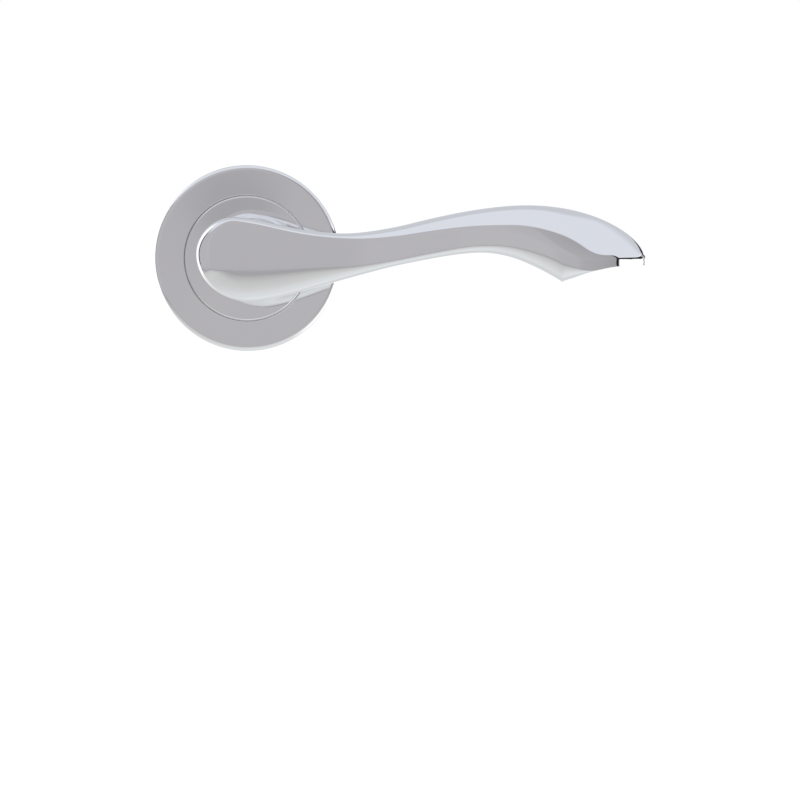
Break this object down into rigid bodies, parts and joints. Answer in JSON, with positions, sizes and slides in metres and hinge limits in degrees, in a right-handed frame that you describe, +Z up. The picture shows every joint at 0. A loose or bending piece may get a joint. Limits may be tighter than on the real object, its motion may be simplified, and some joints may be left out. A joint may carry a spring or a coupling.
{
  "type": "door lever handle",
  "caption": "Sprung door lever handle: a waved grip on a round tapered neck, turning in a round rose with a slide-off cover.",
  "frame": {"origin": "the lever's turning axis where it meets the door's face, which is the back of the rose", "axes": "+Y into the door along the turning axis, +X along the lever towards its tip, +Z up"},
  "size_m": [0.1314, 0.065, 0.052],
  "materials": {
    "polished_chrome": "mirror polished chrome plate",
    "zinc_casting": "tumbled zinc die casting",
    "plated_steel": "bright zinc plated pressing",
    "spring_steel": "drawn spring wire",
    "steel_pin": "ground steel",
    "blackened_steel": "black oxide, lightly oiled",
    "nylon": "natural moulded nylon"
  },
  "bodies": {
    "root": {"base_plate": "zinc_casting", "rear_bush": "nylon", "upper_return_spring": "spring_steel", "lower_return_spring": "spring_steel", "upper_stop_pin": "steel_pin", "lower_stop_pin": "steel_pin", "cassette_lid": "plated_steel", "lid_rivets": "steel_pin", "front_bush": "nylon", "cover_clip_ring": "spring_steel"},
    "lever": {"lever": "polished_chrome", "neck_collar": "polished_chrome", "driver_plate": "plated_steel", "upper_spring_seat": "nylon", "lower_spring_seat": "nylon", "wave_washer": "spring_steel", "circlip": "blackened_steel", "spindle_grub_screw": "blackened_steel"},
    "cover": {"rose_cover": "polished_chrome"}
  },
  "joints": [
    {"name": "lever_turn", "type": "hinge", "parent": "root", "child": "lever", "pos_m": [0, 0, 0], "axis": [0, 1, 0], "range_deg": [0, 45], "stiffness_Nm_per_rad": 0.9, "springref_deg": -20.05, "deforming": ["upper_return_spring", "lower_return_spring"]},
    {"name": "cover_slide", "type": "slide", "parent": "root", "child": "cover", "axis": [0, -1, 0], "range_m": [0, 0.025]}
  ]
}
